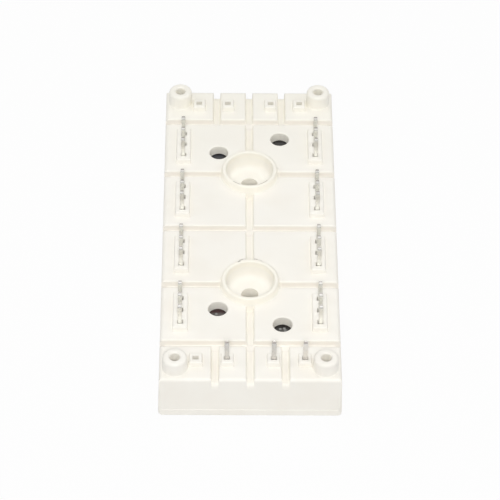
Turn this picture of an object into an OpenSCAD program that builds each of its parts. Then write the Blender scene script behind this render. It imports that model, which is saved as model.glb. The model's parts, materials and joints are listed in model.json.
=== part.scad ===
// Pin-terminal power module: a moulded housing over two copper-clad ceramic substrates.
// Millimetres. Origin at the middle of the cooling face, +Z up, +Y to the rear end.

/* [Housing] */
// Width at the foot, left to right
body_w = 45; // [44:0.5:52]
// Spacing of the cross grooves, one bay of the top
bay_l = 20; // [19:0.05:24]
// Length of each end band, from the last cross groove to the end of the foot
end_l = 12.4; // [11.5:0.1:15]
// Height of the flat top above the cooling face
body_h = 12.6; // [11.8:0.1:16]
// Lean of each outer wall from foot to top
wall_lean = 0.3; // [0.25:0.05:0.6]
// Radius of the upright corners
corner_r = 1.2; // [0.8:0.1:2]
// Radius of the rounded top edge
edge_r = 0.9; // [0.4:0.1:1.2]
// Height of the foot band
foot_h = 2; // [1.2:0.1:2.6]
// How far the foot band stands out from the wall above it
foot_out = 0.06; // [0.04:0.01:0.2]
// Thickness of the roof under the panels
roof_t = 2.7; // [2.4:0.1:3]
// Thickness of the outer walls beside the chambers
wall_t = 3.2; // [2.8:0.1:3.6]
// Width of the ledge that the substrates are glued to
ledge_w = 1; // [0.6:0.1:1.4]
// Thickness of the rib between the two chambers
rib_t = 2.4; // [1.6:0.1:3]

/* [Creepage grooves] */
// Depth of the grooves
groove_d = 1.8; // [1:0.1:2]
// Width of a groove at its floor
groove_w = 1.7; // [1.2:0.1:2]
// Widening of a groove on each side, from floor to lip
groove_lean = 0.1; // [0.05:0.05:0.2]
// Radius of the rounded lips of a groove
lip_r = 0.4; // [0.1:0.05:0.5]
// Bevel along both sides of a groove's floor
groove_bevel = 0.25; // [0.1:0.05:0.5]
// Radius of the rounded sill where a groove runs out of a wall
sill_r = 1.4; // [0.6:0.1:1.6]
// Distance of the short outer end grooves from the side of the foot
end_groove_x = 13.9; // [13.5:0.1:14.1]

/* [Screw wells] */
// Inner radius of a well at its rim
well_r = 6.06; // [5.8:0.02:6.6]
// Height of the rim above the panels
rim_h = 2.05; // [1.2:0.05:2.6]
// Thickness of the rim at its top
rim_t = 1.05; // [0.9:0.05:1.3]
// Radius of the rounded edges of the rim
rim_edge_r = 0.4; // [0.1:0.05:0.45]
// Lean of the rim's outside and of the well's wall
rim_lean = 0.3; // [0.1:0.05:0.4]
// Radius of the fillet at the foot of the rim
rim_fillet_r = 0.5; // [0.2:0.1:0.6]
// Depth of the screw seat below the rim
seat_d = 5.6; // [5:0.1:6]
// Radius of the bowl between the well's wall and its seat
bowl_r = 1.9; // [1:0.1:2.2]
// Radius of the screw hole
screw_r = 2.15; // [2.1:0.05:2.5]
// Radius of the column that presses on the substrate
column_r = 3.9; // [3.6:0.1:4.2]
// Height of the solid column under the seat, down to the flare
seat_t = 2.6; // [2.2:0.1:2.7]

/* [Filling holes] */
// Radius of the holes
fill_r = 2.4; // [2:0.05:3]
// Radius of their rounded mouths
fill_lip_r = 0.35; // [0.1:0.05:0.5]
// Distance of the holes from the centre line
fill_x = 8; // [7.8:0.1:9]
// Distance of each left hole outward from its well
fill_left_y = 8.25; // [8:0.05:10]
// Distance of each right hole outward from its well
fill_right_y = 13.49; // [11:0.01:15]

/* [Board screw bosses] */
// Distance of a boss from the side of the foot
boss_side = 4.15; // [4:0.05:4.6]
// Distance of a boss from the end of the foot
boss_end = 4.4; // [4.1:0.1:4.8]
// Radius of a boss at its top
boss_r = 3; // [2.8:0.05:3.2]
// Height of a boss above the panels
boss_h = 4; // [2:0.1:6]
// Lean of a boss from foot to top
boss_lean = 0.08; // [0.02:0.02:0.12]
// Radius of the rounded top edge of a boss
boss_edge_r = 0.8; // [0.2:0.05:1]
// Radius of the fillet at the foot of a boss
boss_fillet_r = 0.3; // [0.1:0.05:0.4]
// Radius of the screw hole in a boss
boss_hole_r = 1.25; // [1:0.05:1.4]
// Depth of the screw hole below the top of the boss
boss_hole_d = 9; // [5:0.5:10]
// Width of the countersink round that hole
boss_sink = 0.35; // [0.1:0.05:0.5]
// Gap between a boss and the control pad beside it
boss_gap = 0.25; // [0.1:0.05:0.5]

/* [Terminal pads] */
// Distance of a side pad's middle from the side of the foot
pad_inset = 5.25; // [5.1:0.05:5.8]
// Width of a side pad
pad_w = 3.9; // [3.4:0.1:4.4]
// Length of a side pad
pad_l = 12.2; // [11.4:0.1:14]
// Height of the pads above the panels
pad_h = 1.35; // [0.8:0.05:1.8]
// Radius of the rounded edges and corners of the pads
pad_edge_r = 0.35; // [0.15:0.05:0.5]
// Lean of a pad's walls from foot to top
pad_lean = 0.12; // [0.05:0.01:0.2]
// Grid of the control terminals
control_pitch = 3.81; // [3.7:0.01:3.9]
// Distance of the outer control terminals from the side of the foot
control_side = 9.165; // [9:0.005:9.6]
// Distance of the control terminals from the end of the foot
control_inset = 6.4; // [6:0.1:6.8]
// Length of a control pad along the body
control_pad_l = 3.5; // [3:0.1:4]
// Width of a control pad from its slot's middle to its free edge
control_pad_reach = 1.75; // [1.5:0.05:1.9]

/* [Pins] */
// Thickness of the pin strip
pin_t = 1; // [0.6:0.05:1.1]
// Width of the pin strip
pin_w = 1.15; // [0.9:0.05:1.25]
// Height of the pin tips above the pads
pin_out = 5.9; // [4:0.1:10]
// Spacing of the pins of one power terminal
pin_pitch = 4; // [3.6:0.1:4.4]
// Height of the bevelled tip
tip_h = 0.5; // [0.3:0.1:1.4]
// Narrowing of the tip on each side, across the pin's width
tip_in = 0.25; // [0.1:0.05:0.35]
// Narrowing of the tip on each side, across the pin's thickness
tip_edge = 0.12; // [0.05:0.01:0.3]
// Length of the soldered foot from the back of the pin
pin_foot = 2; // [1.6:0.1:2.2]
// Inner radius of the bend above the foot
bend_r = 0.4; // [0.2:0.1:0.6]
// Size of a power slot across the pin's thickness
slot_t = 1.45; // [1.35:0.05:1.8]
// Size of a power slot across the pin's width
slot_w = 1.4; // [1.3:0.05:1.8]
// Size of a control slot across the pin's thickness
control_slot_t = 1.2; // [1.1:0.05:1.6]
// Size of a control slot across the pin's width
control_slot_w = 1.5; // [1.3:0.05:1.7]
// Shift of the power pins to the outside of their slots
pin_shift = 0.1; // [0:0.05:0.2]

/* [Substrates] */
// Thickness of the base copper, cooling face to ceramic
base_t = 0.3; // [0.2:0.05:0.5]
// How far the base copper stands below the foot of the housing
base_proud = 0.1; // [0.05:0.05:0.15]
// Thickness of the ceramic plate
ceramic_t = 0.63; // [0.38:0.01:1]
// Thickness of the copper tracks
track_t = 0.3; // [0.2:0.05:0.5]
// Clearance between a plate and the housing round it
plate_clear = 0.2; // [0.1:0.05:0.3]
// Gap between the two plates under the rib
plate_gap = 0.8; // [0.4:0.1:1.2]
// Bare ceramic left round the base copper
base_margin = 0.8; // [0.4:0.1:1.2]
// Radius of the screw clearance through a plate
plate_hole_r = 2.7; // [2.6:0.05:3]
// Bare ceramic left between the tracks
track_gap = 0.8; // [0.5:0.1:0.9]
// Half the width that the common track keeps round the screw column
common_half_w = 5.5; // [5.4:0.1:5.8]
// Width of the gate tracks
gate_w = 1; // [0.8:0.1:1.1]
// Copper left beyond the last pin foot of a phase track
track_margin = 1.2; // [0.8:0.1:1.6]
// Width of the copper under a control pin
gate_pad_w = 2.6; // [2.2:0.1:2.7]

/* [Chips and wires] */
// Side of the square chips
chip_w = 6.6; // [5.6:0.1:6.8]
// Thickness of the chips
chip_t = 0.4; // [0.25:0.05:0.5]
// Copper left between a chip and the feet of its pins
chip_gap = 0.65; // [0.4:0.05:0.9]
// Copper left between a chip and the inner edge of its track
chip_margin = 0.4; // [0.2:0.1:0.5]
// Radius of the bond wires
wire_r = 0.15; // [0.1:0.01:0.2]
// Number of wires from each chip to the common track
wire_count = 4; // [2:1:4]
// Spacing of those wires
wire_pitch = 1.4; // [1:0.1:1.5]
// Distance of a wire's end from the edge it lands at
wire_land = 1; // [0.6:0.1:1.2]
// Distance of a gate wire from the edge of its chip
gate_land = 0.6; // [0.4:0.1:0.7]
// Level of the silicone filling above the cooling face
gel_level = 6; // [5.8:0.1:6.4]

/* [Hidden] */
$fn = 64;
// How far a cutting shape runs past the face it opens
over = 1;
// How deep a raised shape is rooted in what carries it
root = 0.3;

// Colours of the materials
ivory = [0.94, 0.92, 0.87];
tin = [0.72, 0.72, 0.70];
copper = [0.80, 0.50, 0.34];
alumina = [0.95, 0.95, 0.92];
silicon = [0.35, 0.36, 0.40];
aluminium = [0.80, 0.81, 0.83];
gel_tint = [0.16, 0.14, 0.14];

// Plan sizes
body_l = 4 * bay_l + 2 * end_l;
half_w = body_w / 2;
half_l = body_l / 2;
chamber_x = half_w - wall_t;
chamber_y = half_l - wall_t;
boss_x = half_w - boss_side;
boss_y = half_l - boss_end;
pad_x = half_w - pad_inset;
control_y = half_l - control_inset;
control_x = [half_w - control_side - 2 * control_pitch, half_w - control_side];
end_groove = half_w - end_groove_x;
groove_top_w = groove_w + 2 * groove_lean;
groove_edge = groove_top_w / 2 + lip_r;

// Levels above the cooling face
ledge_z = base_t + ceramic_t;
track_z = ledge_z + track_t;
chip_z = track_z + chip_t;
roof_z = body_h - roof_t;
groove_z = body_h - groove_d;
pad_z = body_h + pad_h;
rim_z = body_h + rim_h;
seat_z = rim_z - seat_d;
boss_z = body_h + boss_h;
tip_z = pad_z + pin_out;

// Well and boss radii
rim_foot_r = well_r + rim_t + rim_lean;
bowl_top_r = well_r - rim_lean;
cup_r = rim_foot_r;
boss_foot_r = boss_r + boss_lean;
post_r = boss_foot_r + boss_fillet_r;

// Track layout of one substrate, with y counted outward from the rib
track_x = chamber_x - track_gap;
track_in = rib_t / 2 + track_gap;
phase_end = 1.5 * bay_l + pin_pitch + pin_w / 2 + track_margin;
gate_run_y = phase_end + track_gap;
gate_arm_y = gate_run_y + gate_w + track_gap;
gate_end = control_y + pin_t + track_margin / 2;
chip_x = pad_x + pin_shift + pin_t / 2 - pin_foot - chip_gap - chip_w / 2;
chip_y = [0.5 * bay_l, 1.5 * bay_l];
chip_places = [[-1, chip_y[0]], [-1, chip_y[1]], [1, chip_y[1]]];
gate_bond_y = chip_w / 2 - gate_land;
phase_x = chip_x - chip_w / 2 - chip_margin;
gate_run_x = phase_x - track_gap - gate_w;
common_x = gate_run_x - track_gap;
common_bond_x = common_x - wire_land;
gate_ring_r = common_half_w + track_gap;
phase_ring_r = gate_ring_r + gate_w + track_gap;

// Rectangle with round corners, about the origin
module round_rect(w, l, r) {
    square([w - 2 * r, l], center = true);
    square([w, l - 2 * r], center = true);
    for (x = [-1, 1], y = [-1, 1])
        translate([x * (w / 2 - r), y * (l / 2 - r)])
            circle(r);
}

// Rectangle between two corners
module area(x0, y0, x1, y1) {
    translate([x0, y0])
        square([x1 - x0, y1 - y0]);
}

// What is left of a small square beside a quarter circle, for a fillet with its corner at the origin
module fillet_section(r) {
    difference() {
        translate([-root, -root])
            square(r + root);
        translate([r, r])
            circle(r);
    }
}

// Extrudes a section along the body, its x across and its y up
module run_lengthwise(l) {
    rotate([90, 0, 0])
        linear_extrude(l, center = true)
            children();
}

// Extrudes a section across the body, its x along the body and its y up
module run_crosswise(l) {
    rotate([90, 0, 90])
        linear_extrude(l, center = true)
            children();
}

// Repeats a shape in the front chamber and, as it is, in the rear one
module both_ends() {
    for (end = [0, 1])
        mirror([0, end, 0])
            children();
}

// Upright section of the housing: foot band, leaning walls and rounded top edges
module wall_section(half) {
    top = half - wall_lean;
    wall = half - foot_out;
    polygon([
        [-half, base_proud], [half, base_proud], [half, foot_h], [wall, foot_h + foot_out],
        [top, body_h - edge_r], [-top, body_h - edge_r], [-wall, foot_h + foot_out], [-half, foot_h]
    ]);
    area(-(top - edge_r), foot_h, top - edge_r, body_h);
    for (side = [-1, 1])
        translate([side * (top - edge_r), body_h - edge_r])
            circle(edge_r);
}

// Moulded block with its walls, before grooves and hollows
module block() {
    intersection() {
        run_lengthwise(body_l + over)
            wall_section(half_w);
        run_crosswise(body_w + over)
            wall_section(half_l);
        linear_extrude(body_h + over)
            round_rect(body_w, body_l, corner_r);
    }
}

// Section of a groove: bevelled floor, leaning sides and rounded lips
module groove_section() {
    half_floor = groove_w / 2;
    half_top = groove_top_w / 2;
    lip_z = body_h - lip_r;
    bevel_z = groove_z + groove_bevel;
    bevel_x = half_floor - groove_bevel;
    polygon([[-bevel_x, groove_z], [bevel_x, groove_z], [half_floor, bevel_z], [half_top, lip_z],
             [-half_top, lip_z], [-half_floor, bevel_z]]);
    difference() {
        area(-groove_edge, lip_z, groove_edge, body_h + over);
        for (side = [-1, 1])
            translate([side * groove_edge, lip_z])
                circle(lip_r);
    }
}

// Rounds the sill where a groove's floor meets an outer wall, on the +x side
module sill_section(half) {
    wall_x = half - wall_lean;
    difference() {
        area(wall_x - sill_r, groove_z - sill_r, wall_x + over, groove_z + over);
        translate([wall_x - sill_r, groove_z - sill_r])
            circle(sill_r);
    }
}

// All grooves of the top, with their sills
module grooves() {
    for (i = [-2:2])
        translate([0, i * bay_l, 0]) {
            run_crosswise(body_w + over)
                groove_section();
            for (side = [0, 1])
                mirror([side, 0, 0])
                    run_lengthwise(groove_w)
                        sill_section(half_w);
        }
    run_lengthwise(body_l + over)
        groove_section();
    both_ends() {
        for (x = [-end_groove, end_groove])
            translate([x, 2 * bay_l + (end_l + over) / 2, 0])
                run_lengthwise(end_l + over)
                    groove_section();
        for (x = [-end_groove, 0, end_groove])
            translate([x, 0, 0])
                run_crosswise(groove_w)
                    sill_section(half_l);
    }
}

// Fillet ring at the foot of a rim or boss
module foot_fillet(r, fillet_r) {
    rotate_extrude()
        translate([r, body_h])
            fillet_section(fillet_r);
}

// Raised rim round a well, rooted below the groove floors
module rim() {
    top_r = well_r + rim_t;
    rotate_extrude() {
        area(0, groove_z - root, rim_foot_r, body_h);
        polygon([[0, body_h - root], [rim_foot_r, body_h - root], [rim_foot_r, body_h],
                 [top_r, rim_z - rim_edge_r], [0, rim_z - rim_edge_r]]);
        area(0, body_h, top_r - rim_edge_r, rim_z);
        translate([top_r - rim_edge_r, rim_z - rim_edge_r])
            circle(rim_edge_r);
    }
}

// Column under a well: it presses the substrate down and flares out to carry the bowl
module pressure_column() {
    flare_z = seat_z - seat_t;
    top_z = roof_z + 2 * root;
    rotate_extrude()
        polygon([[0, ledge_z], [column_r, ledge_z], [column_r, flare_z],
                 [cup_r, flare_z + cup_r - column_r], [cup_r, top_z], [0, top_z]]);
}

// Hollow of a well: rounded mouth, leaning wall, bowl and flat seat
module well() {
    wall_z = seat_z + bowl_r;
    mouth_z = rim_z - rim_edge_r;
    rotate_extrude() {
        area(0, seat_z, bowl_top_r - bowl_r, wall_z);
        intersection() {
            translate([bowl_top_r - bowl_r, wall_z])
                circle(bowl_r);
            area(0, seat_z, bowl_top_r, wall_z);
        }
        polygon([[0, wall_z], [bowl_top_r, wall_z], [well_r, mouth_z], [0, mouth_z]]);
        difference() {
            area(0, mouth_z, well_r + rim_edge_r, rim_z + over);
            translate([well_r + rim_edge_r, mouth_z])
                circle(rim_edge_r);
        }
    }
}

// Filling hole through the roof, with a rounded mouth
module fill_hole() {
    lip_z = body_h - fill_lip_r;
    translate([0, 0, roof_z - over])
        cylinder(r = fill_r, h = roof_t + 2 * over);
    rotate_extrude()
        difference() {
            area(0, lip_z, fill_r + fill_lip_r, body_h + over);
            translate([fill_r + fill_lip_r, lip_z])
                circle(fill_lip_r);
        }
}

// Boss for a board screw, before its hole
module boss() {
    edge_z = boss_z - boss_edge_r;
    rotate_extrude() {
        polygon([[0, body_h - root], [boss_foot_r, body_h - root], [boss_foot_r, body_h],
                 [boss_r, edge_z], [0, edge_z]]);
        area(0, body_h, boss_r - boss_edge_r, boss_z);
        intersection() {
            translate([boss_r - boss_edge_r, edge_z])
                circle(boss_edge_r);
            area(0, edge_z, boss_r, boss_z);
        }
    }
    foot_fillet(boss_foot_r, boss_fillet_r);
}

// Blind hole of a boss with its countersink
module boss_hole() {
    translate([0, 0, boss_z - boss_hole_d])
        cylinder(r = boss_hole_r, h = boss_hole_d + over);
    translate([0, 0, boss_z - boss_sink])
        cylinder(r1 = boss_hole_r, r2 = boss_hole_r + boss_sink, h = boss_sink);
    translate([0, 0, boss_z])
        cylinder(r = boss_hole_r + boss_sink, h = over);
}

// Section of a pad: leaning walls with rounded top edges
module pad_section(half) {
    top = half - pad_lean;
    edge_z = pad_z - pad_edge_r;
    polygon([[-half, body_h - root], [half, body_h - root], [half, body_h],
             [top, edge_z], [-top, edge_z], [-half, body_h]]);
    area(-(top - pad_edge_r), body_h, top - pad_edge_r, pad_z);
    for (side = [-1, 1])
        translate([side * (top - pad_edge_r), edge_z])
            circle(pad_edge_r);
}

// Raised pad round one terminal's slots
module pad(w, l) {
    intersection() {
        run_lengthwise(l + over)
            pad_section(w / 2);
        run_crosswise(w + over)
            pad_section(l / 2);
        linear_extrude(pad_z + over)
            round_rect(w, l, pad_edge_r);
    }
}

// Control pads of one end: the inner ones reach to the end grooves, the outer ones almost to the bosses
module control_pads() {
    inner = [control_x[0] - control_pad_reach, end_groove - groove_edge];
    outer = [control_x[1] - control_pad_reach, boss_x - boss_foot_r - boss_gap];
    for (span = [inner, outer], side = [0, 1])
        mirror([side, 0, 0])
            translate([(span[0] + span[1]) / 2, control_y, 0])
                pad(span[1] - span[0], control_pad_l);
}

// Straight slot through a pad and the roof
module slot(across, along) {
    translate([-across / 2, -along / 2, roof_z - over])
        cube([across, along, pad_z - roof_z + 2 * over]);
}

// Places a shape at the middle of each side pad
module at_side_pads() {
    for (side = [-1, 1], row = [-1.5, -0.5, 0.5, 1.5])
        translate([side * pad_x, row * bay_l, 0])
            children();
}

// Places a shape at each screw well
module at_wells() {
    for (side = [-1, 1])
        translate([0, side * bay_l, 0])
            children();
}

// Places a shape at each board screw boss
module at_bosses() {
    for (x = [-boss_x, boss_x], y = [-boss_y, boss_y])
        translate([x, y, 0])
            children();
}

// Plan of the rear chamber, with the corner posts under the bosses left standing
module chamber_plan() {
    difference() {
        area(-chamber_x, rib_t / 2, chamber_x, chamber_y);
        for (x = [-boss_x, boss_x])
            translate([x, boss_y])
                circle(post_r);
    }
}

// Recess for the plates and the two chambers above them
module hollows() {
    translate([0, 0, base_proud - over])
        linear_extrude(ledge_z - base_proud + over)
            square([2 * (chamber_x + ledge_w), 2 * (chamber_y + ledge_w)], center = true);
    both_ends()
        translate([0, 0, ledge_z - root])
            linear_extrude(roof_z - ledge_z + root)
                chamber_plan();
}

// The whole moulding
module housing() {
    color(ivory)
        difference() {
            union() {
                difference() {
                    union() {
                        block();
                        at_wells()
                            foot_fillet(rim_foot_r, rim_fillet_r);
                    }
                    grooves();
                    hollows();
                }
                at_wells() {
                    rim();
                    pressure_column();
                }
                at_bosses()
                    boss();
                at_side_pads()
                    pad(pad_w, pad_l);
                both_ends()
                    control_pads();
            }
            at_wells() {
                well();
                translate([0, 0, ledge_z - over])
                    cylinder(r = screw_r, h = seat_z - ledge_z + 2 * over);
            }
            both_ends() {
                for (hole = [[-fill_x, fill_left_y], [fill_x, fill_right_y]])
                    translate([hole[0], bay_l + hole[1], 0])
                        fill_hole();
                for (x = control_x, side = [-1, 1])
                    translate([side * x, control_y, 0])
                        slot(control_slot_w, control_slot_t);
            }
            at_side_pads()
                for (i = [-1:1])
                    translate([0, i * pin_pitch, 0])
                        slot(slot_t, slot_w);
            at_bosses()
                boss_hole();
        }
}

// One bent pin on its track: upright strip, bend and a foot towards +x, with a bevelled tip
module pin() {
    back = pin_t / 2;
    bend_x = bend_r + back;
    bend_z = track_z + pin_t + bend_r;
    intersection() {
        run_lengthwise(pin_w) {
            polygon([[-back, bend_z], [back, bend_z], [back, tip_z - tip_h], [back - tip_edge, tip_z],
                     [-back + tip_edge, tip_z], [-back, tip_z - tip_h]]);
            area(bend_x, track_z, pin_foot - back, track_z + pin_t);
            difference() {
                intersection() {
                    translate([bend_x, bend_z])
                        circle(bend_r + pin_t);
                    area(-back, track_z, bend_x, bend_z);
                }
                translate([bend_x, bend_z])
                    circle(bend_r);
            }
        }
        run_crosswise(2 * pin_foot + over) {
            half = pin_w / 2;
            polygon([[-half, track_z - over], [half, track_z - over], [half, tip_z - tip_h],
                     [half - tip_in, tip_z], [-half + tip_in, tip_z], [-half, tip_z - tip_h]]);
        }
    }
}

// Three pins of one power terminal, on the left (-1) or right (1) side
module power_pins(side, row) {
    for (i = [-1:1])
        translate([side * (pad_x + pin_shift), row * bay_l + i * pin_pitch, 0])
            rotate(side < 0 ? 0 : 180)
                pin();
}

module power_terminal(side, row) {
    color(tin)
        power_pins(side, row);
}

// Control pin at the front end
module control_pin(x) {
    color(tin)
        translate([x, -control_y, 0])
            rotate(90)
                pin();
}

// Circle round the rear screw column
module column_circle(r) {
    translate([0, bay_l])
        circle(r);
}

// Plan of the rear ceramic plate, made smaller by a margin, with its screw hole
module plate_plan(margin, hole_r) {
    plate_x = chamber_x + ledge_w - plate_clear - margin;
    difference() {
        area(-plate_x, plate_gap / 2 + margin, plate_x, chamber_y + ledge_w - plate_clear - margin);
        column_circle(hole_r);
    }
}

module base_copper() {
    color(copper)
        linear_extrude(base_t)
            plate_plan(base_margin, plate_hole_r + base_margin);
}

module ceramic_plate() {
    color(alumina)
        translate([0, 0, base_t])
            linear_extrude(ceramic_t)
                plate_plan(0, plate_hole_r);
}

// Phase tracks and common track, alike on both substrates
module power_track_plan() {
    difference() {
        union() {
            area(-track_x, track_in, -phase_x, bay_l - track_gap / 2);
            for (side = [0, 1])
                mirror([side, 0])
                    area(phase_x, bay_l + track_gap / 2, track_x, phase_end);
        }
        column_circle(phase_ring_r);
    }
    difference() {
        union() {
            area(-common_x, track_in, common_x, phase_end);
            area(0, track_in, track_x, bay_l - track_gap / 2);
            column_circle(common_half_w);
        }
        column_circle(column_r + track_gap);
    }
}

// Gate tracks from the chips to the control pins
module gate_track_plan() {
    half_pad = gate_pad_w / 2;
    run_end_x = gate_run_x + gate_w;
    difference() {
        union() {
            area(-run_end_x, track_in, -gate_run_x, gate_run_y + gate_w);
            intersection() {
                column_circle(gate_ring_r + gate_w);
                area(-track_x, track_in, -gate_run_x - gate_w / 2, phase_end);
            }
        }
        column_circle(gate_ring_r);
    }
    area(-run_end_x, gate_run_y, control_x[0] + half_pad, gate_run_y + gate_w);
    area(control_x[0] - half_pad, gate_run_y, control_x[0] + half_pad, gate_end);
    area(-control_x[1] - half_pad, gate_arm_y, -control_x[0] + half_pad, gate_arm_y + gate_w);
    area(-control_x[0] - half_pad, gate_arm_y, -control_x[0] + half_pad, gate_end);
    area(control_x[1] - half_pad, gate_run_y, control_x[1] + half_pad, gate_end);
}

module copper_tracks(with_gates) {
    color(copper)
        translate([0, 0, ledge_z])
            linear_extrude(track_t) {
                power_track_plan();
                if (with_gates)
                    gate_track_plan();
            }
}

// Square chip on a phase track
module chip(x, y) {
    color(silicon)
        translate([x - chip_w / 2, y - chip_w / 2, track_z])
            cube([chip_w, chip_w, chip_t]);
}

// Wire in a half ring from a chip at the origin to a track along +x, a chip's thickness lower
module bond_wire(span) {
    translate([span / 2, 0, 0])
        rotate([90, 0, 0])
            rotate_extrude(angle = 180)
                translate([span / 2, 0])
                    circle(wire_r);
    translate([span, 0, -chip_t])
        cylinder(r = wire_r, h = chip_t);
}

// Wires from the three chips of a substrate to its common track
module common_wires() {
    for (at = chip_places, i = [0:wire_count - 1])
        translate([at[0] * chip_x, at[1] + (i - (wire_count - 1) / 2) * wire_pitch, chip_z])
            rotate(at[0] < 0 ? 0 : 180)
                bond_wire(chip_x - common_bond_x);
}

// Wires from the gates to their tracks
module gate_wires() {
    gate_x = chip_x - gate_bond_y;
    translate([-gate_x, chip_y[0] + gate_bond_y, chip_z])
        bond_wire(gate_x - gate_run_x - gate_w / 2);
    outer_y = chip_y[1] + gate_bond_y;
    translate([-control_x[1], outer_y, chip_z])
        rotate(90)
            bond_wire(gate_arm_y + gate_w / 2 - outer_y);
    translate([control_x[1], outer_y, chip_z])
        rotate(90)
            bond_wire(gate_run_y + wire_land - outer_y);
}

module bond_wires(with_gates) {
    color(aluminium) {
        common_wires();
        if (with_gates)
            gate_wires();
    }
}

// Soft filling of a chamber, cast round everything that stands in it
module silicone_gel(with_gates) {
    color(gel_tint)
        difference() {
            translate([0, 0, ledge_z])
                linear_extrude(gel_level - ledge_z)
                    chamber_plan();
            translate([0, bay_l, 0])
                pressure_column();
            copper_tracks(with_gates);
            for (at = chip_places)
                chip(at[0] * chip_x, at[1]);
            bond_wires(with_gates);
            for (side = [-1, 1], row = [0.5, 1.5])
                power_pins(side, row);
            if (with_gates)
                front()
                    front_control_pins();
        }
}

// Control pins in the places that are fitted
module front_control_pins() {
    control_pin(-control_x[0]);
    control_pin(control_x[0]);
    control_pin(control_x[1]);
}

// Turns a rear piece into a front one
module front() {
    mirror([0, 1, 0])
        children();
}

housing();
power_terminal(-1, -1.5);  // power_terminal_left_1
power_terminal(-1, -0.5);  // power_terminal_left_2
power_terminal(-1, 0.5);  // power_terminal_left_3
power_terminal(-1, 1.5);  // power_terminal_left_4
power_terminal(1, -1.5);  // power_terminal_right_1
power_terminal(1, -0.5);  // power_terminal_right_2
power_terminal(1, 0.5);  // power_terminal_right_3
power_terminal(1, 1.5);  // power_terminal_right_4
control_pin(-control_x[0]);  // gate_pin_1
control_pin(control_x[0]);  // gate_pin_2
control_pin(control_x[1]);  // gate_pin_3
front() base_copper();  // base_copper_front
base_copper();  // base_copper_rear
front() ceramic_plate();  // ceramic_plate_front
ceramic_plate();  // ceramic_plate_rear
front() copper_tracks(true);  // copper_tracks_front
copper_tracks(false);  // copper_tracks_rear
front() chip(-chip_x, chip_y[0]);  // thyristor_chip_1
front() chip(-chip_x, chip_y[1]);  // thyristor_chip_2
front() chip(chip_x, chip_y[1]);  // thyristor_chip_3
chip(-chip_x, chip_y[0]);  // diode_chip_1
chip(-chip_x, chip_y[1]);  // diode_chip_2
chip(chip_x, chip_y[1]);  // diode_chip_3
front() bond_wires(true);  // bond_wires_front
bond_wires(false);  // bond_wires_rear
front() silicone_gel(true);  // silicone_gel_front
silicone_gel(false);  // silicone_gel_rear
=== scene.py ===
import json
from math import cos, radians, sin

import bmesh
import bpy
from mathutils import Matrix, Vector


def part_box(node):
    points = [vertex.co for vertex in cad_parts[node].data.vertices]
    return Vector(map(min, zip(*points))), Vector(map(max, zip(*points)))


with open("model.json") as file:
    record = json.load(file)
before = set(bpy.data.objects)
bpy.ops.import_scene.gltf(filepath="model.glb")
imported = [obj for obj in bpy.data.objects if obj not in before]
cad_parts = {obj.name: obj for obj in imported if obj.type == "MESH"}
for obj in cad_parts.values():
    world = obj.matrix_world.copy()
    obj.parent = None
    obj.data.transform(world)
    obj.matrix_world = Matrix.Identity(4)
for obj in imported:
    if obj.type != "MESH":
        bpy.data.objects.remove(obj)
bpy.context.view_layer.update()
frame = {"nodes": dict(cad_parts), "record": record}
mm = 0.001  # the scene is in metres
print("frame loaded:", len(frame["nodes"]), "nodes")


def shade(red, green, blue):  # an sRGB colour as a picture shows it, 0 to 255, made linear
    def linear(value):
        value /= 255
        return value / 12.92 if value <= 0.04045 else ((value + 0.055) / 1.055) ** 2.4
    return (linear(red), linear(green), linear(blue), 1.0)


class Signal:  # one socket of a node tree, so that shader maths reads as plain sums
    def __init__(self, tree, socket=None):
        self.tree = tree
        self.socket = socket

    def make(self, kind, settings, sockets, out=0):  # any node: settings first, then values and links
        node = self.tree.nodes.new(kind)
        for name, value in settings.items():
            setattr(node, name, value)
        for name, value in sockets.items():
            if isinstance(value, Signal):
                self.tree.links.new(value.socket, node.inputs[name])
            else:
                node.inputs[name].default_value = value
        return Signal(self.tree, node.outputs[out] if node.outputs else None)

    def also(self, out):  # another output of the same node
        return Signal(self.tree, self.socket.node.outputs[out])

    def sum(self, operation, first, second):
        return self.make("ShaderNodeMath", {"operation": operation}, {0: first, 1: second})

    def __add__(self, other):
        return self.sum("ADD", self, other)

    def __radd__(self, other):
        return self.sum("ADD", other, self)

    def __sub__(self, other):
        return self.sum("SUBTRACT", self, other)

    def __rsub__(self, other):
        return self.sum("SUBTRACT", other, self)

    def __mul__(self, other):
        return self.sum("MULTIPLY", self, other)

    def __rmul__(self, other):
        return self.sum("MULTIPLY", other, self)

    def noise(self, size, detail):  # soft 3-D noise with features of that size
        return self.make("ShaderNodeTexNoise", {}, {"Vector": self, "Scale": 1 / size, "Detail": detail})

    def stretched(self, x, y, z):  # coordinates drawn out, for streaks
        return self.make("ShaderNodeMapping", {}, {"Vector": self, "Scale": (x, y, z)})

    def axes(self):  # the three coordinates of a vector
        first = self.make("ShaderNodeSeparateXYZ", {}, {"Vector": self})
        return first, first.also("Y"), first.also("Z")

    def away(self, other):  # distance from another value
        return self.sum("ABSOLUTE", self - other, 0.0)

    def reach(self, other):  # distance from the middle, from two coordinates
        return self.sum("POWER", self * self + other * other, 0.5)

    def wrapped(self, pitch):  # offset from the nearest place of a row with that pitch
        return self.make("ShaderNodeMath", {"operation": "WRAP"}, {0: self, 1: pitch / 2, 2: -pitch / 2})

    def step(self, start, end):  # 0 before start, 1 after end, smooth between
        return self.make("ShaderNodeMapRange", {"interpolation_type": "SMOOTHSTEP"}, {
            "Value": self, "From Min": start, "From Max": end})

    def between(self, first, second):  # a colour mixed from two by this factor
        return self.make("ShaderNodeMix", {"data_type": "RGBA"}, {
            "Factor": self, 6: first, 7: second}, 2)

    def bump(self, depth, strength):
        return self.make("ShaderNodeBump", {}, {
            "Height": self, "Distance": depth, "Strength": strength}, "Normal")


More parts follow.
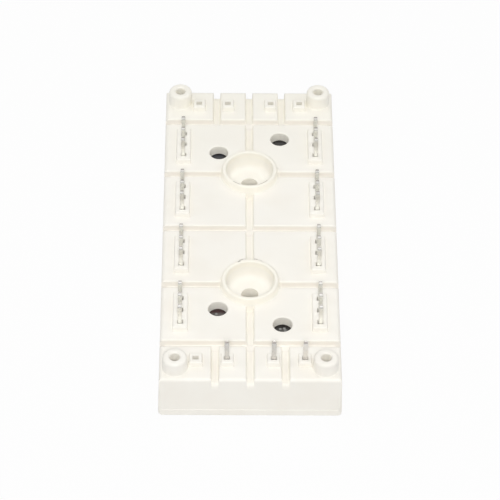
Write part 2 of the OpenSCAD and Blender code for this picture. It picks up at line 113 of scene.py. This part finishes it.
def newFinish(name):  # an empty material and its Object coordinates
    material = bpy.data.materials.new(name)
    material.use_nodes = True
    material.node_tree.nodes.clear()
    place = Signal(material.node_tree).make("ShaderNodeTexCoord", {}, {}, "Object")
    return material, place


def closeFinish(place, sockets):
    shader = place.make("ShaderNodeBsdfPrincipled", {}, sockets)
    place.make("ShaderNodeOutputMaterial", {}, {"Surface": shader})


# A pair of numbers in the sets below says where a tint or mask starts and where it is full
screwSpacing = next(
    mount["dims"]["spacing_y_mm"] for mount in frame["record"]["mounts"] if mount["name"] == "screw_holes")
wellY = screwSpacing / 2 * mm
rimShadeSet = {  # painted shade: thin dark stretches of rings along the rims of the wells
    "colour": shade(168, 162, 150),
    "across": (0.3 * mm, 0.09 * mm),  # from the line of the ring
    "softAngle": radians(4),
    "softLow": 0.2 * mm,
    "rings": [  # well, radius, lowest point, middle and half length in degrees from the rear, strength
        {"well": -1, "radius": 6.75 * mm, "low": 14 * mm, "middle": -24, "half": 1, "strength": 0.9},
        {"well": -1, "radius": 8.9 * mm, "low": 12 * mm, "middle": -14.5, "half": 1, "strength": 0.7},
        {"well": -1, "radius": 9.1 * mm, "low": 12 * mm, "middle": -9, "half": 2, "strength": 0.3},
        {"well": -1, "radius": 9.05 * mm, "low": 12 * mm, "middle": 8, "half": 2, "strength": 0.45},
        {"well": -1, "radius": 8.9 * mm, "low": 12 * mm, "middle": 15, "half": 3, "strength": 0.28},
        {"well": -1, "radius": 6.8 * mm, "low": 14 * mm, "middle": 27, "half": 2, "strength": 0.15},
        {"well": 1, "radius": 6.3 * mm, "low": 14 * mm, "middle": -148, "half": 8, "strength": 0.65},
        {"well": 1, "radius": 6.3 * mm, "low": 14 * mm, "middle": 146, "half": 11, "strength": 0.6},
    ],
}


def rimShadeLines(place, s):  # how much painted shade each spot gets, 0 to 1
    across, along, height = place.axes()
    total = 0.0
    for ring in s["rings"]:
        outward = along - ring["well"] * wellY
        half = radians(ring["half"])
        angle = across.sum("ARCTAN2", across, outward).away(radians(ring["middle"]))
        stretch = angle.step(half + s["softAngle"], half)
        band = across.reach(outward).away(ring["radius"]).step(*s["across"])
        above = height.step(ring["low"], ring["low"] + s["softLow"])
        total = stretch * band * above * ring["strength"] + total
    return total


ivorySet = {
    "colour": shade(252, 249, 241),
    "cloudy": shade(250, 246, 237),  # where the filler shows a little more
    "cloud": 9 * mm,
    "cloudRange": (0.35, 0.75),
    "grain": 0.3 * mm,
    "grainDepth": 0.004 * mm,
    "grainStrength": 0.6,
    "roughness": 0.5,
    "roughnessGain": 0.12,
    "groove": shade(247, 243, 235),  # painted shade: walls of the cross grooves darker
    "groovePitch": wellY,
    "grooveAlong": (1.3 * mm, 1.17 * mm),  # from the middle of a groove
    "grooveHeight": (12.4 * mm, 12.1 * mm),
    "grooveEnd": (7.8 * mm, 8.2 * mm),  # ends, insides and outsides: from the middle of a well
    "bowl": shade(248, 246, 239),  # painted shade: floors of the wells darker
    "bowlInside": (2.2 * mm, 2.3 * mm),
    "bowlOutside": (6 * mm, 5.6 * mm),
    "bowlHeight": (11 * mm, 9.8 * mm),
    "rim": shade(254, 250, 238),  # painted light: the well rims lighter and warmer
    "rimInside": (5.8 * mm, 6 * mm),
    "rimOutside": (8.2 * mm, 7.8 * mm),
    "rimHeight": (12.4 * mm, 13.4 * mm),
    "rearShade": shade(250, 247, 237),  # painted shade: the rear end darker and warmer, where the light falls off
    "rearShadeAlong": (10 * mm, 56 * mm),
}


def zones(place, s):  # masks for painted shade and light: the cross grooves, the floors of the wells, their rims, the rear end
    across, along, height = place.axes()
    offset = along.wrapped(s["groovePitch"]).away(0.0)
    apart = across.reach(along.away(0.0) - wellY)
    groove = offset.step(*s["grooveAlong"]) * height.step(*s["grooveHeight"]) * apart.step(*s["grooveEnd"])
    bowl = apart.step(*s["bowlInside"]) * apart.step(*s["bowlOutside"]) * height.step(*s["bowlHeight"])
    rim = apart.step(*s["rimInside"]) * apart.step(*s["rimOutside"]) * height.step(*s["rimHeight"])
    return groove, bowl, rim, along.step(*s["rearShadeAlong"])


def ivoryPlastic(s):
    material, place = newFinish("ivory moulding")
    grain = place.noise(s["grain"], detail=2.0)
    groove, bowl, rim, rear = zones(place, s)
    clean = place.noise(s["cloud"], detail=3.0).step(*s["cloudRange"]).between(s["colour"], s["cloudy"])
    clean = rear.between(rim.between(clean, s["rim"]), s["rearShade"])
    clean = bowl.between(groove.between(clean, s["groove"]), s["bowl"])
    closeFinish(place, {
        "Base Color": rimShadeLines(place, rimShadeSet).between(clean, rimShadeSet["colour"]),
        "Roughness": s["roughness"] + s["roughnessGain"] * (grain - 0.5),
        "Normal": grain.bump(s["grainDepth"], s["grainStrength"]),
    })
    return material


rowBoxes = [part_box("power_terminal_left_" + end) for end in ("1", "2")]
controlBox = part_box("gate_pin_1")
tinSet = {  # depths are counted from the top of the pins
    "pinTop": controlBox[1].z,
    "streak": 0.12 * mm,
    "streakStretch": (1, 1, 0.08),
    "streakShare": 0.6,
    "streakDepth": 0.01 * mm,
    "streakStrength": 0.5,
    "patch": 1.1 * mm,
    "wornRange": (0.38, 0.66),
    "dullFront": 0.4,  # share of the dull mix on the front rows, which are brighter
    "dullAlong": (-35 * mm, 5 * mm),
    "roughness": 0.26,
    "roughnessGain": 0.2,
}
rowSet = {  # the pins in the side rows
    "middle": (rowBoxes[0][0].y + rowBoxes[0][1].y) / 2,
    "pitch": abs(rowBoxes[0][0].y - rowBoxes[1][0].y),
    "pinPitch": 4 * mm,
    "stripAcross": abs(rowBoxes[0][0].x + 0.5 * mm),  # middle of the upright strips
    "bright": shade(251, 251, 247),
    "dull": shade(229, 228, 223),
    "frontPin": (-2 * mm, -3 * mm),  # from the middle of a row
    "pale": shade(247, 247, 242),  # painted reflection: low on the front pin, where the light pad shows in it
    "paleDepth": (1.7 * mm, 4.9 * mm),
    "line": shade(190, 188, 182),  # painted shade: high on the front pin, along the edges and under the bright ends
    "upperDepth": (3.5 * mm, 1.9 * mm),
    "upperAlong": (-40 * mm, -5 * mm),
    "upperShare": 0.35,
    "edgeAcross": (0.26 * mm, 0.44 * mm),  # from the middle of a strip
    "edgeShare": 0.3,
    "lineDepth": (0.6 * mm, 0.4 * mm),
    "lineShare": 0.7,
    "tip": shade(255, 253, 250),  # painted highlight: front of the end, brightest on the front rows
    "tipDepth": (0.24 * mm, 0.16 * mm),
    "tipEdgeLoss": 0.7,
    "tipRearLoss": 0.5,
    "tipAlong": (-30 * mm, 10 * mm),
    "cut": shade(192, 188, 183),  # the rest of the bare end; darker on the rear rows is painted shade
    "rearCut": shade(166, 162, 156),
    "cutDepth": (0.08 * mm, 0.04 * mm),
    "cutInPin": (-0.25 * mm, -0.15 * mm),  # from the middle of a pin
    "cutAlong": (-20 * mm, 20 * mm),
}
controlSet = {  # the pins at the front end
    "along": (controlBox[1].y + 1 * mm, controlBox[1].y),
    "face": controlBox[0].y,
    "colour": shade(207, 205, 202),
    "right": shade(224, 221, 217),  # the right one is brighter
    "rightAcross": (9 * mm, 11 * mm),
    "foot": shade(212, 209, 205),  # painted light: paler where a pin enters its slot, against the shade there
    "footDepth": (4.3 * mm, 5.5 * mm),
    "darkEnd": shade(173, 167, 162),  # painted shade: front of the end
    "paleEnd": shade(220, 217, 211),  # painted highlight: the rest of it
    "endDepth": (0.35 * mm, 0.25 * mm),
    "endAlong": (0.35 * mm, 0.5 * mm),  # from the face of the pin
}


def rowColour(across, along, depth, worn, s):  # plating, painted highlights at the tips, painted shade and bare ends of the side rows
    fromMiddle = along - s["middle"]
    frontPin = fromMiddle.wrapped(s["pitch"]).step(*s["frontPin"])
    pale = depth.step(*s["paleDepth"]) * frontPin
    upper = depth.step(*s["upperDepth"]) * along.step(*s["upperAlong"]) * frontPin * s["upperShare"]
    edge = across.away(0.0).away(s["stripAcross"]).step(*s["edgeAcross"])
    line = depth.step(*s["lineDepth"]) * s["lineShare"]
    tip = depth.step(*s["tipDepth"]) * (1 - s["tipEdgeLoss"] * edge)
    tip = tip * (1 - s["tipRearLoss"] * along.step(*s["tipAlong"]))
    cut = depth.step(*s["cutDepth"]) * fromMiddle.wrapped(s["pinPitch"]).step(*s["cutInPin"])
    colour = pale.between(worn.between(s["bright"], s["dull"]), s["pale"])
    for mask in (upper, edge * s["edgeShare"], line):
        colour = mask.between(colour, s["line"])
    colour = tip.between(colour, s["tip"])
    return cut.between(colour, along.step(*s["cutAlong"]).between(s["cut"], s["rearCut"]))


def controlColour(across, along, depth, s):  # plating, painted light at the feet, and painted shade and highlight on the ends of the control pins
    colour = across.step(*s["rightAcross"]).between(s["colour"], s["right"])
    colour = depth.step(*s["footDepth"]).between(colour, s["foot"])
    end = (along - s["face"]).step(*s["endAlong"]).between(s["darkEnd"], s["paleEnd"])
    return depth.step(*s["endDepth"]).between(colour, end)


def tinnedPin(s):
    material, place = newFinish("tinned strip")
    across, along, height = place.axes()
    depth = s["pinTop"] - height
    streak = place.stretched(*s["streakStretch"]).noise(s["streak"], detail=3.0)
    patch = place.noise(s["patch"], detail=2.0)
    worn = (s["streakShare"] * streak + (1 - s["streakShare"]) * patch).step(*s["wornRange"])
    worn = worn * (s["dullFront"] + (1 - s["dullFront"]) * along.step(*s["dullAlong"]))
    rows = rowColour(across, along, depth, worn, rowSet)
    controls = controlColour(across, along, depth, controlSet)
    closeFinish(place, {
        "Base Color": along.step(*controlSet["along"]).between(rows, controls),
        "Metallic": 1.0,
        "Roughness": s["roughness"] + s["roughnessGain"] * worn,
        "Normal": streak.bump(s["streakDepth"], s["streakStrength"]),
    })
    return material


copperSet = {
    "fresh": shade(214, 150, 118),
    "tarnished": shade(170, 104, 78),
    "patch": 6 * mm,
    "patchShare": 0.7,
    "lay": 0.15 * mm,
    "layStretch": (0.05, 1, 1),
    "layDepth": 0.004 * mm,
    "layStrength": 0.5,
    "wornRange": (0.35, 0.7),
    "roughness": 0.3,
    "roughnessGain": 0.18,
}


def bondedCopper(s):
    material, place = newFinish("bonded copper")
    patch = place.noise(s["patch"], detail=4.0)
    lay = place.stretched(*s["layStretch"]).noise(s["lay"], detail=2.0)
    worn = (s["patchShare"] * patch + (1 - s["patchShare"]) * lay).step(*s["wornRange"])
    closeFinish(place, {
        "Base Color": worn.between(s["fresh"], s["tarnished"]),
        "Metallic": 1.0,
        "Roughness": s["roughness"] + s["roughnessGain"] * worn,
        "Normal": lay.bump(s["layDepth"], s["layStrength"]),
    })
    return material


aluminaSet = {
    "colour": shade(240, 238, 230),
    "speck": shade(222, 219, 209),
    "speckRange": (0.55, 0.8),
    "grain": 0.2 * mm,
    "grainDepth": 0.004 * mm,
    "grainStrength": 0.6,
    "roughness": 0.55,
    "roughnessGain": 0.2,
}


def firedAlumina(s):
    material, place = newFinish("fired alumina")
    grain = place.noise(s["grain"], detail=3.0)
    closeFinish(place, {
        "Base Color": grain.step(*s["speckRange"]).between(s["colour"], s["speck"]),
        "Roughness": s["roughness"] + s["roughnessGain"] * grain,
        "Normal": grain.bump(s["grainDepth"], s["grainStrength"]),
    })
    return material


siliconSet = {
    "face": shade(118, 122, 134),
    "edge": shade(86, 88, 98),
    "patch": 1.8 * mm,
    "patchRange": (0.35, 0.7),
    "metallic": 0.6,
    "roughness": 0.28,
    "roughnessGain": 0.14,
}


def metalledSilicon(s):
    material, place = newFinish("metalled silicon")
    patch = place.noise(s["patch"], detail=3.0)
    closeFinish(place, {
        "Base Color": patch.step(*s["patchRange"]).between(s["face"], s["edge"]),
        "Metallic": s["metallic"],
        "Roughness": s["roughness"] + s["roughnessGain"] * patch,
    })
    return material


wireSet = {
    "bright": shade(214, 216, 219),
    "drawn": shade(176, 178, 182),
    "streak": 0.05 * mm,
    "roughness": 0.3,
    "roughnessGain": 0.15,
}


def bondWire(s):
    material, place = newFinish("drawn aluminium")
    streak = place.noise(s["streak"], detail=2.0)
    closeFinish(place, {
        "Base Color": streak.between(s["bright"], s["drawn"]),
        "Metallic": 1.0,
        "Roughness": s["roughness"] + s["roughnessGain"] * streak,
    })
    return material


gelSet = {
    "colour": shade(104, 101, 98),
    "murky": shade(84, 80, 77),
    "murkyRange": (0.4, 0.7),
    "rusty": shade(132, 100, 98),  # the front left part, over bare copper
    "bluish": shade(96, 99, 112),  # the rear left part
    "leftAcross": (1 * mm, -1 * mm),
    "rearAlong": (-1 * mm, 1 * mm),
    "patch": 2.2 * mm,
    "ripple": 1.6 * mm,
    "rippleDepth": 0.06 * mm,
    "rippleStrength": 0.6,
    "ior": 1.4,
    "roughness": 0.2,
    "roughnessGain": 0.15,
    # painted light on the gel where light falls in through the filling holes
    "pale": shade(222, 218, 214),
    "windowAcross": (5 * mm, 4 * mm),  # from the middle of a window
    "windowEnd": (-3 * mm, -2 * mm),  # from its front end
    "windows": [  # mm, painted light on the stretches seen through the filling holes, paler to their front ends
        {"x": -8, "rear": -23.0, "front": -24.4, "strength": 0.75},
        {"x": 8, "rear": -28.4, "front": -29.7, "strength": 0.6},
        {"x": -8, "rear": 34.5, "front": 33.2, "strength": 0.3},
        {"x": 8, "rear": 39.7, "front": 38.4, "strength": 0.3},
    ],
    "glint": shade(253, 252, 249),
    "glintReach": (0.5 * mm, 0.2 * mm),
    "glints": [(-8.4, -23.9), (7.6, -29.0), (8.6, -28.8), (8.9, -29.4)],  # mm, painted highlights: small bright specks
}


def siliconeGel(s):
    material, place = newFinish("soft gel")
    across, along = place.axes()[:2]
    flat = place.stretched(1, 1, 0)
    patch = place.noise(s["patch"], detail=3.0)
    ripple = place.noise(s["ripple"], detail=1.0)
    left = across.step(*s["leftAcross"])
    rear = along.step(*s["rearAlong"])
    tinted = (left * (1 - rear)).between((left * rear).between(s["colour"], s["bluish"]), s["rusty"])
    colour = patch.step(*s["murkyRange"]).between(tinted, s["murky"])
    for window in s["windows"]:
        side = across.away(window["x"] * mm).step(*s["windowAcross"])
        stretch = along.step(window["rear"] * mm, window["front"] * mm)
        end = (along - window["front"] * mm).step(*s["windowEnd"])
        colour = (side * stretch * end * window["strength"]).between(colour, s["pale"])
    for x, y in s["glints"]:
        near = place.make("ShaderNodeVectorMath", {"operation": "DISTANCE"}, {
            0: flat, 1: (x * mm, y * mm, 0)}, "Value")
        colour = near.step(*s["glintReach"]).between(colour, s["glint"])
    closeFinish(place, {
        "Base Color": colour,
        "IOR": s["ior"],
        "Roughness": s["roughness"] + s["roughnessGain"] * patch,
        "Normal": ripple.bump(s["rippleDepth"], s["rippleStrength"]),
    })
    return material


finishes = {
    "housing_plastic": ivoryPlastic(ivorySet),
    "tinned_pin": tinnedPin(tinSet),
    "bonded_copper": bondedCopper(copperSet),
    "alumina": firedAlumina(aluminaSet),
    "silicon": metalledSilicon(siliconSet),
    "bond_wire": bondWire(wireSet),
    "silicone_gel": siliconeGel(gelSet),
}
for part in frame["record"]["subparts"]:
    frame["nodes"][part["node"]].material_slots[0].material = finishes[part["material_slot"]]
print("finishes set:", len(finishes))


stageSet = {
    "floorSize": 6.0,
    "floorDrop": 0.05 * mm,  # keeps the floor clear of the cooling face
    "floorColour": (0.76, 0.76, 0.76, 1.0),
    "shadowKept": 0.05,  # share of the object's shadow that the white floor still shows
    "worldStrength": 0.495,
}


def seenRay(start):  # 1 for what the camera, a gloss or a clear piece shows, 0 for light on surfaces
    camera = start.make("ShaderNodeLightPath", {}, {}, "Is Camera Ray")
    total = camera + camera.also("Is Glossy Ray") + camera.also("Is Transmission Ray")
    return total.sum("MINIMUM", total, 1.0)


def makeFloor(s):
    bm = bmesh.new()
    bmesh.ops.create_grid(bm, x_segments=1, y_segments=1, size=s["floorSize"] / 2)
    bmesh.ops.translate(bm, verts=bm.verts, vec=(0, 0, -s["floorDrop"]))
    mesh = bpy.data.meshes.new("floor")
    bm.to_mesh(mesh)
    bm.free()
    floor = bpy.data.objects.new("floor", mesh)
    bpy.context.scene.collection.objects.link(floor)
    material, place = newFinish("white floor")
    lit = place.make("ShaderNodeBsdfDiffuse", {}, {"Color": s["floorColour"]})
    white = place.make("ShaderNodeEmission", {}, {"Strength": 1.0})
    seen = seenRay(place) * (1 - s["shadowKept"])
    mixed = place.make("ShaderNodeMixShader", {}, {0: seen, 1: lit, 2: white})
    place.make("ShaderNodeOutputMaterial", {}, {"Surface": mixed})
    mesh.materials.append(material)


def makeWorld(s):
    world = bpy.data.worlds.new("studio")
    world.use_nodes = True
    world.node_tree.nodes.clear()
    bpy.context.scene.world = world
    start = Signal(world.node_tree)
    light = start.make("ShaderNodeBackground", {}, {"Strength": s["worldStrength"]})
    white = start.make("ShaderNodeBackground", {}, {"Strength": 1.0})
    mixed = start.make("ShaderNodeMixShader", {}, {0: seenRay(start), 1: light, 2: white})
    start.make("ShaderNodeOutputWorld", {}, {"Surface": mixed})


lampSets = [
    {"name": "keyBox", "size": 0.21, "place": (-0.014, -0.847, 0.855), "watts": 5.9},
    {"name": "leftBox", "size": 0.6, "place": (-0.81, 0, 0.81), "watts": 1.7},
    {"name": "rightBox", "size": 0.6, "place": (0.81, 0, 0.81), "watts": 1.6},
    {"name": "backBox", "size": 0.6, "place": (0, 0.49, 1.04), "watts": 1.4},
]


def makeLamp(s):
    lamp = bpy.data.lights.new(s["name"], "AREA")
    lamp.shape = "SQUARE"
    lamp.size = s["size"]
    lamp.energy = s["watts"]
    holder = bpy.data.objects.new(s["name"], lamp)
    holder.location = s["place"]
    holder.rotation_mode = "QUATERNION"
    holder.rotation_quaternion = (-Vector(s["place"])).to_track_quat("-Z", "Y")
    bpy.context.scene.collection.objects.link(holder)


makeFloor(stageSet)
makeWorld(stageSet)
for lampSet in lampSets:
    makeLamp(lampSet)
print("stage and lamps set")


cameraSet = {
    "lens": 191.9,  # mm, as the sensor
    "sensor": 36,
    "distance": 681 * mm,
    "elevation": 45.28,  # degrees, as the yaw and the roll
    "yaw": 0.79,
    "roll": 0.83,
    "panelTop": 12.4 * mm,  # the aim is counted from the middle of the top
    "aimRight": 0.15 * mm,
    "aimUp": -5.41 * mm,
}


def makeCamera(s):
    yaw, elevation, roll = (radians(s[name]) for name in ("yaw", "elevation", "roll"))
    level = Vector((sin(yaw), cos(yaw), 0))
    right = Vector((cos(yaw), -sin(yaw), 0))
    up = level * sin(elevation) + Vector((0, 0, cos(elevation)))
    ahead = level * cos(elevation) - Vector((0, 0, sin(elevation)))
    aim = Vector((0, 0, s["panelTop"])) + right * s["aimRight"] + up * s["aimUp"]
    turned = Matrix((right * cos(roll) + up * sin(roll), up * cos(roll) - right * sin(roll), -ahead))
    camera = bpy.data.cameras.new("camera")
    camera.lens = s["lens"]
    camera.sensor_width = s["sensor"]
    holder = bpy.data.objects.new("camera", camera)
    holder.matrix_world = Matrix.Translation(aim - ahead * s["distance"]) @ turned.transposed().to_4x4()
    bpy.context.scene.collection.objects.link(holder)
    bpy.context.scene.camera = holder


makeCamera(cameraSet)
bpy.context.scene.view_settings.view_transform = "Standard"
print("camera set")
